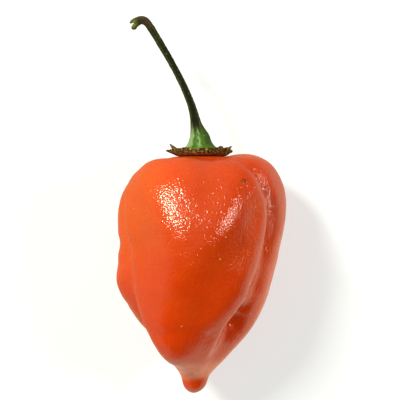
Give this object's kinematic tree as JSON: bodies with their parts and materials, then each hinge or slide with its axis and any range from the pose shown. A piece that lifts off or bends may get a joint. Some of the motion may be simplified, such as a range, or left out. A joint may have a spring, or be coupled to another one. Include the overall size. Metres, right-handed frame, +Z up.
{
  "type": "habanero chilli pepper",
  "caption": "Ripe orange habanero chilli lying on its side, with a lobed lantern-shaped pod, a dry toothed calyx and a thin curved green stem.",
  "frame": {"origin": "middle of the whole pepper's underside, on the surface it lies on", "axes": "+Z up from the surface, +Y along the pod towards the stem, +X to the side of the shoulder that stands highest"},
  "size_m": [0.036, 0.0802, 0.0338],
  "materials": {
    "pod_skin": "smooth waxy orange-red skin, semi-gloss with a very fine grain",
    "calyx": "dry brown and olive calyx, matt",
    "stem": "ribbed olive-green stem with pale flecks, satin"
  },
  "bodies": {
    "root": {"pod": "pod_skin", "calyx": "calyx", "stem": "stem"}
  },
  "joints": []
}
